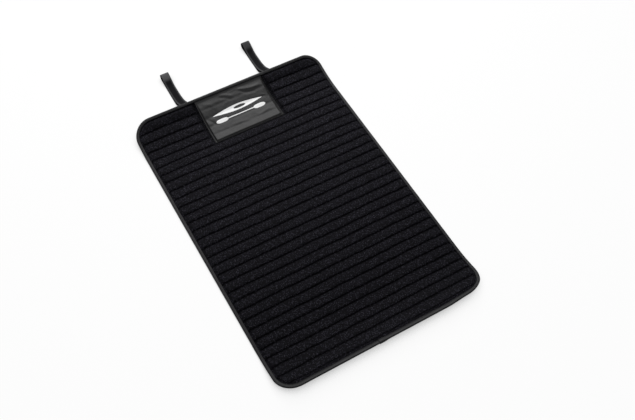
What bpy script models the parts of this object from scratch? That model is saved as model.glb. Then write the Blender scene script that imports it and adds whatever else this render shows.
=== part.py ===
"""Quilted roof pad for loading a kayak.

A soft mat of three sewn layers lies on the floor with both ends curled up. Its edge is bound with
folded tape, a coated label panel is sewn over the quilting at the strap end, and two webbing loops
are sewn under that end. The mat's length runs along Y with the straps at +Y, and its underside is
at Z = 0. Sizes are in millimetres, and each mesh is written in metres.
"""

import math

import bmesh
import bpy
from mathutils import Vector

# The mat seen from above
mat_width = 604.2
mat_length = 914.9
corner_radius_strap_left = 55.0
corner_radius_strap_right = 47.0
corner_radius_foot_left = 53.0
corner_radius_foot_right = 58.0

# How far each end curls off the floor, and over what run
strap_end_rise = 30.9
strap_end_run = 135.6
foot_end_rise = 29.7
foot_end_run = 147.7

# The sewn layers
fit_gap = 0.3
cloth_thickness = 0.8
foam_thickness = 5.6
foam_at_seam = 0.6

# The quilting seams, measured from the strap end
first_seam = 39.5
seam_pitch = 29.48
last_channel_least = 18.0
pillow_square = 4.0
pillow_power = 0.62
back_groove_depth = 0.6
groove_share = 0.1
flat_share = 0.3
pillow_end_run = 13.0
edge_lift = 1.6

# The folded tape round the edge
tape_thickness = 0.8
tape_width = 9.0
tape_nose = 1.2
tape_edge_gap = 0.5
tape_join_x = -31.0
tape_join_lap = 14.0
tape_join_ramp = 6.0
corner_steps = 10

# The label panel
label_width = 221.0
label_centre_x = 5.6
label_reach = 155.0
label_thickness = 0.5
label_tuck = 5.0
label_fill = 0.7
label_ramp = 8.0

# The webbing loops
webbing_width = 25.0
webbing_thickness = 1.4
strap_left_x = -131.0
strap_right_x = 140.0
strap_tab_start = 12.0
strap_tab_length = 33.0
strap_reach = 148.4
strap_tip_height = 20.0
strap_floor_gap = 0.4

# What follows from the values above
MM = 0.001
bound_width = tape_width + fit_gap
layer_inset = tape_thickness + tape_edge_gap
seam_stack = 2 * cloth_thickness + foam_at_seam + 2 * fit_gap
puff = foam_thickness - foam_at_seam
label_step = label_thickness + fit_gap
largest_corner = max(corner_radius_strap_left, corner_radius_strap_right,
                     corner_radius_foot_left, corner_radius_foot_right)
quilt_shares = (0.0, groove_share, flat_share, 1 - flat_share, 1 - groove_share)
back_shares = (0.0, groove_share, 0.5, 1 - groove_share)
end_shares = (0.0, groove_share, flat_share, 0.5, 1 - flat_share, 1 - groove_share)


for old in list(bpy.data.objects):
    bpy.data.objects.remove(old, do_unlink=True)


def clamp(value, low=0.0, high=1.0):
    return max(low, min(high, value))


def curl(s):
    """Height of the mat's underside, and its slope, at distance s from the strap end."""
    near = clamp((strap_end_run - s) / strap_end_run, 0.0, 2.0)
    far = clamp((s - mat_length + foot_end_run) / foot_end_run, 0.0, 2.0)
    height = strap_end_rise * near ** 2 + foot_end_rise * far ** 2
    slope = -2 * strap_end_rise / strap_end_run * near + 2 * foot_end_rise / foot_end_run * far
    return height, slope


def on_mat(x, s, n):
    """Point above the curled underside by n, square to it."""
    height, slope = curl(s)
    size = math.hypot(1.0, slope)
    return Vector((x, mat_length / 2 - s + n * slope / size, height + n / size))


def corner_radius(side, foot):
    if foot:
        return corner_radius_foot_left if side < 0 else corner_radius_foot_right
    return corner_radius_strap_left if side < 0 else corner_radius_strap_right


def half_width(side, s, inset):
    """Half the width at s of the outline drawn inset from the mat's edge."""
    foot = s > mat_length / 2
    radius = corner_radius(side, foot)
    from_end = mat_length - s if foot else s
    width = mat_width / 2
    if from_end >= radius:
        return width - inset
    back = radius - from_end
    arc = max((radius - inset) ** 2 - back ** 2, 0.0)
    spread = 0.3 * inset * back / radius
    return width - radius + math.sqrt(arc) - spread


def seams():
    found = []
    s = first_seam
    while s < mat_length - last_channel_least:
        found.append(s)
        s += seam_pitch
    return found


def channel_edges():
    return [bound_width] + seams() + [mat_length - bound_width]


def rows(shares):
    """Stations along the mat: the bound ends, and the given shares of each channel.

    The channels that the round corners cut into have the same stations in every layer.
    """
    end = [layer_inset, 0.3 * bound_width, 0.6 * bound_width]
    found = list(end)
    edges = channel_edges()
    for low, high in zip(edges, edges[1:]):
        rounded = low < largest_corner or high > mat_length - largest_corner
        cut = end_shares if rounded else shares
        found += [low + share * (high - low) for share in cut]
    found.append(edges[-1])
    found += [mat_length - s for s in reversed(end)]
    return found


def place_in_channel(s):
    """Share of the way across the channel that s lies in, or None on the bound ends."""
    edges = channel_edges()
    for low, high in zip(edges, edges[1:]):
        if low - 1e-6 <= s <= high + 1e-6:
            return clamp((s - low) / (high - low))
    return None


def end_share(s):
    """0 on the bound ends, rising to 1 half-way across the first and the last channel."""
    first, last = seams()[0], seams()[-1]
    if s < first:
        return clamp(2 * (s - bound_width) / (first - bound_width))
    if s > last:
        return clamp(2 * (mat_length - bound_width - s) / (mat_length - bound_width - last))
    return 1.0


def pillow(s):
    """Share of the full puff at s: 0 at each seam and 1 at the crown between two."""
    share = place_in_channel(s)
    if share is None:
        return 0.0
    return (1 - abs(2 * share - 1) ** pillow_square) ** pillow_power


def groove(s):
    """Depth of the stitched groove in the mat's back at s."""
    share = place_in_channel(s)
    if share is None:
        return 0.0
    from_seam = min(share, 1 - share)
    return back_groove_depth * clamp(1 - from_seam / groove_share)


def back_level(free, s):
    """Underside of the mat: flat on the floor, and lifted where the tape folds round its edge."""
    return edge_lift * (1 - free * end_share(s)) + free * end_share(s) * groove(s)


def front_level(free, s):
    """Top face of the quilting."""
    return back_level(free, s) + seam_stack + puff * free * pillow(s)


def new_object(name, bm, colour, roughness, sheen):
    bmesh.ops.recalc_face_normals(bm, faces=bm.faces)
    mesh = bpy.data.meshes.new(name)
    bm.to_mesh(mesh)
    bm.free()
    mesh.shade_smooth()
    mesh.set_sharp_from_angle(angle=math.radians(40))
    material = bpy.data.materials.new(name)
    material.use_nodes = True
    shader = material.node_tree.nodes["Principled BSDF"]
    shader.inputs["Base Color"].default_value = (*colour, 1.0)
    shader.inputs["Roughness"].default_value = roughness
    shader.inputs["Metallic"].default_value = 0.0
    shader.inputs["Sheen Weight"].default_value = sheen
    mesh.materials.append(material)
    item = bpy.data.objects.new(name, mesh)
    bpy.context.scene.collection.objects.link(item)
    return item


def layer(name, stations, low, high, colour, roughness, sheen):
    """Closed sheet between two levels, on columns that follow the mat's rounded outline."""
    columns = [(-1, 0.0, 0.0), (-1, bound_width, 0.0), (-1, bound_width + pillow_end_run, 1.0)]
    columns += [(-side, inset, free) for side, inset, free in reversed(columns)]
    bm = bmesh.new()
    grids = []
    for level in (low, high):
        grid = []
        for s in stations:
            line = []
            for side, inset, free in columns:
                x = side * half_width(side, s, layer_inset + inset * (1 - layer_inset / bound_width))
                line.append(bm.verts.new(on_mat(x, s, level(free, s)) * MM))
            grid.append(line)
        grids.append(grid)
    under, over = grids
    last_row = len(stations) - 1
    last_column = len(columns) - 1
    for grid in grids:
        for a, b in zip(grid, grid[1:]):
            for i in range(last_column):
                bm.faces.new((a[i], a[i + 1], b[i + 1], b[i]))
    for j in range(last_row):
        for i in (0, last_column):
            bm.faces.new((under[j][i], under[j + 1][i], over[j + 1][i], over[j][i]))
    for i in range(last_column):
        for j in (0, last_row):
            bm.faces.new((under[j][i], under[j][i + 1], over[j][i + 1], over[j][i]))
    return new_object(name, bm, colour, roughness, sheen)


def sweep(name, sections, colour, roughness, sheen):
    """Closed body through a row of sections with as many points each, capped at both ends."""
    bm = bmesh.new()
    rings = [[bm.verts.new(point * MM) for point in section] for section in sections]
    count = len(rings[0])
    for a, b in zip(rings, rings[1:]):
        for i in range(count):
            k = (i + 1) % count
            bm.faces.new((a[i], a[k], b[k], b[i]))
    bm.faces.new(rings[0])
    bm.faces.new(rings[-1])
    return new_object(name, bm, colour, roughness, sheen)


def curved_stations(low, high):
    """Stations along a straight side: half a channel apart where the mat curls, sparse between."""
    found = []
    step = seam_pitch / 2
    s = low + step
    while s < high - step / 2:
        if s < strap_end_run + step or s > mat_length - foot_end_run - step:
            found.append(s)
        s += step
    return found


def outline_path():
    """Points round the mat's edge, each with its outward direction, from the tape's join."""
    width = mat_width / 2
    first = tape_join_x
    path = [(first, mat_length, 0.0, 1.0)]
    corners = [(-1, True, 90), (-1, False, 180), (1, False, 270), (1, True, 0)]
    for side, foot, start in corners:
        radius = corner_radius(side, foot)
        cx = side * (width - radius)
        cs = mat_length - radius if foot else radius
        for i in range(corner_steps + 1):
            angle = math.radians(start + 90 * i / corner_steps)
            ox, os = math.cos(angle), math.sin(angle)
            path.append((cx + radius * ox, cs + radius * os, ox, os))
        if (side, foot) == (-1, True):
            stations = curved_stations(corner_radius_strap_left, mat_length - corner_radius_foot_left)
            path += [(-width, s, -1.0, 0.0) for s in reversed(stations)]
        if (side, foot) == (-1, False):
            low = label_centre_x - label_width / 2
            high = label_centre_x + label_width / 2
            for x in (low - label_ramp, low, high, high + label_ramp):
                path.append((x, 0.0, 0.0, -1.0))
        if (side, foot) == (1, False):
            stations = curved_stations(corner_radius_strap_right, mat_length - corner_radius_foot_right)
            path += [(width, s, 1.0, 0.0) for s in stations]
    for x in (first + tape_join_ramp + fit_gap, first + fit_gap, first - tape_join_lap):
        path.append((x, mat_length, 0.0, 1.0))
    return path


def binding():
    """One strip of tape folded over the edge. Its end laps over its start at the foot end."""
    low = edge_lift - fit_gap
    high = edge_lift + seam_stack + fit_gap
    label_low = label_centre_x - label_width / 2 - label_ramp / 2
    label_high = label_centre_x + label_width / 2 + label_ramp / 2
    path = outline_path()
    sections = []
    for index, (x, s, ox, os) in enumerate(path):
        lapped = index >= len(path) - 2
        grow = tape_thickness + fit_gap if lapped else 0.0
        over_label = label_step if os < -0.99 and label_low < x < label_high else 0.0
        top = high + grow + over_label
        base = low - grow
        nose = tape_nose
        profile = [
            (tape_width, top + tape_thickness),
            (nose - grow, top + tape_thickness),
            (-grow, top + tape_thickness - nose),
            (-grow, base - tape_thickness + nose),
            (nose - grow, base - tape_thickness),
            (tape_width, base - tape_thickness),
            (tape_width, base),
            (tape_thickness - grow, base),
            (tape_thickness - grow, top),
            (tape_width, top),
        ]
        sections.append([on_mat(x - inset * ox, s - inset * os, n) for inset, n in profile])
    return sweep("edge_binding", sections, (0.011, 0.011, 0.013), 0.55, 0.2)


def label_panel():
    """Coated panel over the quilting, tucked under the tape at the strap end."""
    stations = [s for s in rows(quilt_shares) if label_tuck < s < label_reach]
    stations = [label_tuck] + stations + [label_reach]
    bound = [seam for seam in seams() if seam < label_reach]
    sections = []
    for s in stations:
        to_last = clamp((bound[-1] - s) / (flat_share * seam_pitch))
        fill = label_fill * end_share(s) * to_last
        lift = front_level(1.0, s) + puff * fill * (1 - pillow(s)) + fit_gap
        corners = []
        for side, n in ((-1, lift), (1, lift), (1, lift + label_thickness), (-1, lift + label_thickness)):
            corners.append(on_mat(label_centre_x + side * label_width / 2, s, n))
        sections.append(corners)
    return sweep("label_panel", sections, (0.06, 0.06, 0.063), 0.38, 0.0)


def smooth_through(knots, steps):
    """Points on a smooth curve through the knots, steps to each stretch."""
    found = []
    last = len(knots) - 1
    for i in range(last):
        before = knots[max(i - 1, 0)]
        after = knots[min(i + 2, last)]
        a, b = knots[i], knots[i + 1]
        span = (b - a).length
        leave = (b - before) * span / max((b - a).length + (a - before).length, 1e-6)
        arrive = (after - a) * span / max((after - b).length + (b - a).length, 1e-6)
        for j in range(steps):
            t = j / steps
            found.append(
                a * (2 * t ** 3 - 3 * t ** 2 + 1) + leave * (t ** 3 - 2 * t ** 2 + t)
                + b * (3 * t ** 2 - 2 * t ** 3) + arrive * (t ** 3 - t ** 2)
            )
    found.append(knots[-1])
    return found


def under_mat(s, depth):
    """Knot below the mat's back, as distance past the strap end and height."""
    point = on_mat(0.0, s, -depth)
    return Vector((point.y - mat_length / 2, point.z))


def strap_centreline():
    """From the upper end of the sewn tab, out over the loop, round its tip and back below."""
    half = webbing_thickness / 2
    upper = fit_gap + half
    lower = 2 * fit_gap + 3 * half
    floor = strap_floor_gap + half
    stacked = floor + webbing_thickness + fit_gap
    tab_end = strap_tab_start + strap_tab_length
    tab = [tab_end, tab_end - strap_tab_length / 2, strap_tab_start]
    rise = strap_end_rise - fit_gap - webbing_thickness
    tip = (strap_tip_height - webbing_thickness) / 2
    centre = Vector((strap_reach - half - tip, floor + tip - strap_floor_gap / 2))
    knots = [under_mat(s, upper) for s in tab]
    knots += [
        Vector((-4.0, rise - 1.9)),
        Vector((1.5, rise - 2.2)),
        Vector((7.0, rise - 4.4)),
        Vector((20.0, 0.54 * rise)),
        Vector((31.0, 0.33 * rise)),
        Vector((43.0, stacked + 0.1 * rise)),
        Vector((56.0, stacked + 0.2)),
        Vector((74.0, stacked)),
        Vector((92.0, stacked + 0.3)),
        Vector((106.0, centre.y - 0.52 * tip)),
        Vector((119.0, centre.y + 0.15 * tip)),
        Vector((130.0, centre.y + 0.72 * tip)),
    ]
    for angle in (90, 45, 0, -45, -90):
        turn = math.radians(angle)
        knots.append(centre + tip * Vector((math.cos(turn), math.sin(turn))))
    knots += [
        Vector((120.0, floor)),
        Vector((90.0, floor)),
        Vector((60.0, floor)),
        Vector((38.0, floor + 0.1)),
        Vector((27.0, 0.12 * rise)),
        Vector((17.0, 0.40 * rise)),
        Vector((9.0, 0.68 * rise)),
        Vector((2.0, 0.84 * rise)),
        Vector((-4.5, under_mat(strap_tab_start / 2, lower).y - 1.2)),
    ]
    knots += [under_mat(s, lower) for s in reversed(tab)]
    return smooth_through(knots, 2)


def strap(name, x):
    """One length of webbing doubled into a loop, in the frame of the strap end's edge."""
    line = strap_centreline()
    sections = []
    for i, point in enumerate(line):
        ahead = line[min(i + 1, len(line) - 1)] - line[max(i - 1, 0)]
        ahead.normalize()
        off = Vector((-ahead.y, ahead.x)) * webbing_thickness / 2
        section = []
        for side, sign in ((-1, 1), (1, 1), (1, -1), (-1, -1)):
            at = point + sign * off
            section.append(Vector((side * webbing_width / 2, at.x, at.y)))
        sections.append(section)
    item = sweep(name, sections, (0.016, 0.016, 0.017), 0.7, 0.3)
    item.location = (x * MM, mat_length / 2 * MM, 0.0)
    return item


def backing_top(free, s):
    return back_level(free, s) + cloth_thickness


def padding_bottom(free, s):
    return backing_top(free, s) + fit_gap


def cover_bottom(free, s):
    return front_level(free, s) - cloth_thickness


def padding_top(free, s):
    return cover_bottom(free, s) - fit_gap


cloth_colour = (0.0075, 0.0072, 0.0095)
layer("backing", rows(back_shares), back_level, backing_top, cloth_colour, 0.85, 0.2)
layer("padding", rows(quilt_shares), padding_bottom, padding_top, (0.32, 0.32, 0.31), 0.9, 0.0)
layer("top_cover", rows(quilt_shares), cover_bottom, front_level, cloth_colour, 0.8, 0.4)
binding()
label_panel()
strap("strap_left", strap_left_x)
strap("strap_right", strap_right_x)
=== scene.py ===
"""Looks of the quilted roof pad: cloth, tape, panel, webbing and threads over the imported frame."""

import math

import bpy
import numpy as np
from mathutils import Euler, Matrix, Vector


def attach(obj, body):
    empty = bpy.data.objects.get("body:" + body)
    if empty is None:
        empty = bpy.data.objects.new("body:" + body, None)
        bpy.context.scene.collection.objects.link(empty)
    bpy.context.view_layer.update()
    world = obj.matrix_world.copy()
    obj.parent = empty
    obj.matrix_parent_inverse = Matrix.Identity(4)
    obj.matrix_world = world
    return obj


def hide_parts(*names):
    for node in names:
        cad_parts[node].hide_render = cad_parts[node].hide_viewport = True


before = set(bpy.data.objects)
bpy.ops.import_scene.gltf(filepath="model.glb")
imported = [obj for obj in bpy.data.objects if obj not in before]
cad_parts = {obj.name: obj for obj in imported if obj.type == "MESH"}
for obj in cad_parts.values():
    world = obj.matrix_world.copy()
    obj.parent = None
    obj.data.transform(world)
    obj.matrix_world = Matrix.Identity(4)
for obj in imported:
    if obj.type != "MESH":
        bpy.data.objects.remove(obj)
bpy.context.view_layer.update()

# Sizes in millimetres. Corner radii go by side, -1 being left, and by being at the foot or not
MM = 0.001
WIDTH = 604.2
LENGTH = 914.9
CORNERS = {(-1, False): 60.0, (1, False): 47.0, (-1, True): 53.0, (1, True): 65.0}
STRAP_RISE, STRAP_RUN = 30.9, 135.6
FOOT_RISE, FOOT_RUN = 29.7, 147.7
GAP = 0.3
FIRST_SEAM, PITCH, SEAMS = 39.5, 29.48, 30
EDGE_LIFT = 1.6
SEAM_STACK = 2.8
SEAM_TOP = 3.4
EDGE_STACK = EDGE_LIFT + SEAM_STACK
CROWN_TOP = 7.8
TAPE_WIDTH = 9.0
TAPE_THICK = 0.8
BOUND = TAPE_WIDTH + GAP
INSET = 1.3
HEM_LEFT, HEM_RIGHT = -104.9, 116.1
TROUGH_LEFT, TROUGH_RIGHT = -101.6, 111.6
LABEL_REACH = 154.5
LABEL_TUCK = 5.0
LABEL_THICK = 0.5
TAPE_JOIN = -18.0
CORNER_PULL = 5.5
PULL_X, PULL_WIDE = 165.0, 85.0
PULL_S, PULL_LONG = 880.0, 35.0
CLOTH_THICK = 0.8
LINING = 1.5
UNDER_PANEL = 4


# Surface of the mat

def curl(s):
    """Height and slope of the underside at s: flat, with an end that curls up on either side."""
    near = np.clip((STRAP_RUN - s) / STRAP_RUN, 0.0, 2.0)
    far = np.clip((s - LENGTH + FOOT_RUN) / FOOT_RUN, 0.0, 2.0)
    height = STRAP_RISE * near ** 2 + FOOT_RISE * far ** 2
    slope = -2 * STRAP_RISE / STRAP_RUN * near + 2 * FOOT_RISE / FOOT_RUN * far
    return height, slope


def on_mat(x, s, n):
    """Points in metres, n above the curled underside at x and distance s from the strap end.

    The foot's right corner is drawn in a little.
    """
    x, s, n = np.broadcast_arrays(np.asarray(x, float), np.asarray(s, float), np.asarray(n, float))
    s = s - CORNER_PULL * ease((x - PULL_X) / PULL_WIDE) * ease((s - PULL_S) / PULL_LONG)
    height, slope = curl(s)
    size = np.hypot(1.0, slope)
    return np.stack([x, LENGTH / 2 - s + n * slope / size, height + n / size], -1) * MM


def corner_radius(side, foot):
    return np.where(foot, CORNERS[(side, True)], CORNERS[(side, False)])


def half_width(side, s, inset):
    """Half the width at s of the rounded outline drawn inset from the mat's edge."""
    foot = s > LENGTH / 2
    radius = corner_radius(side, foot)
    from_end = np.where(foot, LENGTH - s, s)
    back = np.maximum(radius - from_end, 0.0)
    arc = np.sqrt(np.maximum((radius - inset) ** 2 - back ** 2, 0.0))
    return WIDTH / 2 - radius + np.where(back > 0, arc, radius - inset)


def edge_distance(x, s):
    """Distance in from the rounded outline."""
    foot = s > LENGTH / 2
    radius = np.where(x < 0, corner_radius(-1, foot), corner_radius(1, foot))
    a = WIDTH / 2 - np.abs(x)
    b = np.where(foot, LENGTH - s, s)
    inside = (a < radius) & (b < radius)
    corner = radius - np.hypot(radius - a, radius - b)
    return np.where(inside, corner, np.minimum(a, b))


def ease(t):
    t = np.clip(t, 0.0, 1.0)
    return t * t * (3 - 2 * t)


def wander(x, seed, size, wave):
    """Slow wavering of a hand-guided line: a few sines with fixed phases."""
    phase = np.random.default_rng(seed).uniform(0, 2 * math.pi, 4)
    total = 0.0
    for k, share in enumerate((1.0, 0.61, 0.37, 0.23)):
        total = total + np.sin(2 * math.pi * x / (wave * share) + phase[k]) / (k + 1)
    return size * total / 1.6


def seam_line(i, x):
    """Station of seam i at x. The seams drift off the even pitch in two places and at the foot."""
    base = FIRST_SEAM + PITCH * i
    base -= 3.1 * math.exp(-((i - 5.8) / 1.2) ** 2) + 3.1 * math.exp(-((i - 12.2) / 1.9) ** 2)
    base += (1.0 + 2.5 * (1 - (x / 300.0) ** 2)) * (i == SEAMS - 1)
    return base + wander(x, 100 + i, 0.8, 190.0) + wander(x, 150 + i, 0.45, 65.0)


# Meshes and materials

def place(name, data):
    item = bpy.data.objects.new(name, data)
    bpy.context.scene.collection.objects.link(item)
    return item


def finish_mesh(name, verts, faces, material, uv=None):
    """Smooth mesh from points and lists of faces. Each list holds faces of one number of sides."""
    mesh = bpy.data.meshes.new(name)
    verts = np.asarray(verts, np.float32).reshape(-1, 3)
    lists = [np.asarray(f, np.int32) for f in (faces if isinstance(faces, list) else [faces])]
    corners = np.concatenate([f.ravel() for f in lists])
    sides = np.concatenate([np.full(len(f), f.shape[1]) for f in lists])
    starts = np.concatenate([[0], np.cumsum(sides)[:-1]]).astype(np.int32)
    mesh.vertices.add(len(verts))
    mesh.vertices.foreach_set("co", verts.ravel())
    mesh.loops.add(len(corners))
    mesh.loops.foreach_set("vertex_index", corners)
    mesh.polygons.add(len(sides))
    mesh.polygons.foreach_set("loop_start", starts)
    mesh.update(calc_edges=True)
    mesh.validate()
    mesh.shade_smooth()
    if uv is not None:
        layer = mesh.uv_layers.new(name="UVMap")
        layer.data.foreach_set("uv", np.asarray(uv, np.float32)[corners].ravel())
    mesh.materials.append(material)
    return place(name, mesh)


def grid_faces(rows, columns, offset=0, flip=False, wrap=False):
    across = columns if wrap else columns - 1
    j, i = np.meshgrid(np.arange(rows - 1), np.arange(across), indexing="ij")
    k = (i + 1) % columns
    a = j * columns + i
    b = j * columns + k
    c = (j + 1) * columns + k
    d = (j + 1) * columns + i
    quads = np.stack([a, d, c, b] if flip else [a, b, c, d], -1).reshape(-1, 4)
    return quads + offset


def closed_sheet(name, under, over, material):
    """Closed body between two equal grids of points, over being the upper one."""
    rows, columns = over.shape[:2]
    count = rows * columns
    verts = np.concatenate([over.reshape(-1, 3), under.reshape(-1, 3)])
    faces = [grid_faces(rows, columns, 0, flip=True), grid_faces(rows, columns, count)]
    rim = np.concatenate([
        np.arange(columns - 1),
        np.arange(rows - 1) * columns + columns - 1,
        (rows - 1) * columns + np.arange(columns - 1, 0, -1),
        np.arange(rows - 1, 0, -1) * columns,
    ])
    ahead = np.roll(rim, -1)
    faces.append(np.stack([rim, ahead, ahead + count, rim + count], -1))
    return finish_mesh(name, verts, np.concatenate(faces), material)


def point_values(item, name, values):
    """Gives the mesh one number a point, which its material reads by the name."""
    layer = item.data.attributes.new(name, "FLOAT", "POINT")
    layer.data.foreach_set("value", values)


def nodes_of(name):
    material = bpy.data.materials.new(name)
    material.use_nodes = True
    tree = material.node_tree
    return material, tree, tree.nodes["Principled BSDF"]


def add(tree, kind, **values):
    node = tree.nodes.new(kind)
    for key, value in values.items():
        setattr(node, key, value)
    return node


def noise(tree, coords, scale, detail=2.0, rough=0.5):
    """Noise over coords in metres, whose scale is in features a metre."""
    node = add(tree, "ShaderNodeTexNoise")
    node.inputs["Scale"].default_value = scale
    node.inputs["Detail"].default_value = detail
    node.inputs["Roughness"].default_value = rough
    tree.links.new(coords, node.inputs["Vector"])
    return node.outputs["Fac"]


def ramp(tree, value, stops):
    """Greys between stops, each a place from 0 to 1 and the grey there."""
    node = add(tree, "ShaderNodeValToRGB")
    elements = node.color_ramp.elements
    while len(elements) < len(stops):
        elements.new(0.5)
    for element, (at, grey) in zip(elements, stops):
        element.position = at
        element.color = (grey, grey, grey, 1.0)
    tree.links.new(value, node.inputs["Fac"])
    return node.outputs["Color"]


def point_number(tree, name):
    """Reads what point_values gave the mesh, or 0 where it gave nothing."""
    return add(tree, "ShaderNodeAttribute", attribute_name=name).outputs["Fac"]


def put(tree, socket, value):
    """Sets a socket to a number or a colour, or links it to another node's output."""
    if isinstance(value, bpy.types.NodeSocket):
        tree.links.new(value, socket)
    else:
        socket.default_value = value


def math_node(tree, operation, *values):
    node = add(tree, "ShaderNodeMath", operation=operation)
    for socket, value in zip(node.inputs, values):
        put(tree, socket, value)
    return node.outputs[0]


def mix_colour(tree, factor, a, b, blend="MIX"):
    node = add(tree, "ShaderNodeMix", data_type="RGBA", blend_type=blend)
    for index, value in ((0, factor), (6, a), (7, b)):
        put(tree, node.inputs[index], (*value, 1.0) if isinstance(value, tuple) else value)
    return node.outputs[2]


def shaded(tree, colour, shade):
    return mix_colour(tree, 1.0, colour, shade, "MULTIPLY")


def set_surface(tree, shader, colour, rough, shine):
    put(tree, shader.inputs["Base Color"], colour)
    put(tree, shader.inputs["Roughness"], rough)
    put(tree, shader.inputs["Specular IOR Level"], shine)


def bump(tree, shader, height, strength, distance, normal=None):
    node = add(tree, "ShaderNodeBump")
    node.inputs["Strength"].default_value = strength
    node.inputs["Distance"].default_value = distance
    tree.links.new(height, node.inputs["Height"])
    if normal is not None:
        tree.links.new(normal, node.inputs["Normal"])
    tree.links.new(node.outputs["Normal"], shader.inputs["Normal"])
    return node.outputs["Normal"]


# Widths of the cloth's yarns in metres
YARN_ACROSS, YARN_ALONG = 0.0019, 0.0015
NYLON_YARN = 0.0007
TAPE_YARN = 0.0013


def weave(tree, coords, across, along):
    """Plain weave from -1 to 1 over coordinates in metres, above 0 where a warp yarn is on top."""
    split = add(tree, "ShaderNodeSeparateXYZ")
    tree.links.new(coords, split.inputs[0])
    u = math_node(tree, "MULTIPLY", split.outputs[0], math.pi / across)
    v = math_node(tree, "MULTIPLY", split.outputs[1], math.pi / along)
    return math_node(tree, "MULTIPLY", math_node(tree, "SINE", u), math_node(tree, "SINE", v))


def uneven(tree, coords, scale, size):
    """The coordinates with their lines a little out of true, by about size in metres."""
    node = add(tree, "ShaderNodeTexNoise")
    node.inputs["Scale"].default_value = scale
    tree.links.new(coords, node.inputs["Vector"])
    shift = add(tree, "ShaderNodeVectorMath", operation="MULTIPLY_ADD")
    shift.inputs[1].default_value = (size, size, 0.0)
    tree.links.new(node.outputs["Color"], shift.inputs[0])
    tree.links.new(coords, shift.inputs[2])
    return shift.outputs[0]


def yarns(tree, coords, across, along):
    """A number from 0 to 1 for each yarn that shows on the face of a plain weave."""
    split = add(tree, "ShaderNodeVectorMath", operation="DIVIDE")
    split.inputs[1].default_value = (across, along, 1.0)
    tree.links.new(coords, split.inputs[0])
    cell = add(tree, "ShaderNodeVectorMath", operation="FLOOR")
    tree.links.new(split.outputs[0], cell.inputs[0])
    node = add(tree, "ShaderNodeTexWhiteNoise", noise_dimensions="2D")
    tree.links.new(cell.outputs[0], node.inputs["Vector"])
    return node.outputs["Value"]


def cloth_material(name, dark, light, speck, paint_groove_shade=False):
    """Near-black cloth of a coarse plain weave, whose yarns differ, with slow patches of wear.

    Where asked, shade is painted into the cloth where the mesh marks it: darker and less shiny in
    the seams' grooves, by the tape, at the curled strap end and beside the panel.
    """
    rough, level = 0.85, 0.12
    material, tree, shader = nodes_of(name)
    coords = add(tree, "ShaderNodeTexCoord").outputs["Object"]
    slow = noise(tree, coords, 9.0, 3.0)
    mottle = noise(tree, coords, 120.0, 3.0, 0.7)
    fine = noise(tree, coords, 900.0, 3.0, 0.7)
    body = mix_colour(tree, slow, dark, light)
    body = shaded(tree, body, ramp(tree, mottle, [(0.32, 0.5), (0.68, 1.5)]))
    lines = uneven(tree, coords, 90.0, 0.004)
    threads = weave(tree, lines, YARN_ACROSS, YARN_ALONG)
    domes = math_node(tree, "POWER", math_node(tree, "ABSOLUTE", threads), 0.4)
    yarn = yarns(tree, lines, YARN_ACROSS, YARN_ALONG)
    body = shaded(tree, body, ramp(tree, yarn, [(0.0, 0.3), (0.6, 0.9), (0.9, 1.5)]))
    pale = ramp(tree, yarn, [(0.82, 0.0), (1.0, 1.0)])
    # Painted shade and highlight: each yarn is painted darker in the gaps beside it and paler on its
    # rounded top, where its pale specks also show most.
    body = mix_colour(tree, math_node(tree, "MULTIPLY", pale, domes), body, speck)
    body = shaded(tree, body, ramp(tree, domes, [(0.0, 0.45), (0.8, 1.1)]))
    shine = level
    # Painted shade: the colour goes near black and the shine fades where the mesh marks shade.
    if paint_groove_shade:
        painted_shade = point_number(tree, "painted_shade")
        body = mix_colour(tree, painted_shade, body, (0.0012, 0.0012, 0.0016))
        shine = math_node(tree, "MULTIPLY_ADD", painted_shade, -level, level)
    set_surface(tree, shader, body, math_node(tree, "MULTIPLY_ADD", fine, 0.2, rough - 0.1), shine)
    first = bump(tree, shader, domes, 0.5, 0.0004)
    bump(tree, shader, fine, 0.4, 0.0004, first)
    return material


def tape_material(name, dark, light, level, rough, rib):
    """Ribbed woven tape. Its map runs across it in u and along it in v, in metres.

    Where a mesh marks it, the yarn is painted paler: a painted highlight on lit edges and bends.
    """
    material, tree, shader = nodes_of(name)
    coords = add(tree, "ShaderNodeTexCoord").outputs["UV"]
    split = add(tree, "ShaderNodeSeparateXYZ")
    tree.links.new(coords, split.inputs[0])
    turn = 2 * math.pi
    ribs = math_node(tree, "SINE", math_node(tree, "MULTIPLY", split.outputs[1], turn / rib))
    cross = math_node(tree, "SINE", math_node(tree, "MULTIPLY", split.outputs[0], turn / TAPE_YARN))
    height = math_node(tree, "MULTIPLY_ADD", ribs, 0.35, math_node(tree, "MULTIPLY", cross, 0.15))
    where = add(tree, "ShaderNodeTexCoord").outputs["Object"]
    slow = noise(tree, where, 26.0, 3.0)
    fine = noise(tree, where, 700.0, 2.0, 0.6)
    body = mix_colour(tree, slow, dark, light)
    # Painted highlight, where the mesh marks it.
    painted_highlight = point_number(tree, "painted_highlight")
    body = mix_colour(tree, painted_highlight, body, (0.09, 0.09, 0.093))
    body = shaded(tree, body, ramp(tree, fine, [(0.25, 0.5), (0.75, 1.45)]))
    rough = math_node(tree, "MULTIPLY_ADD", fine, 0.25, rough - 0.12)
    set_surface(tree, shader, body, rough, level)
    first = bump(tree, shader, height, 0.5, 0.0003)
    bump(tree, shader, fine, 0.4, 0.0004, first)
    return material


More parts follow.
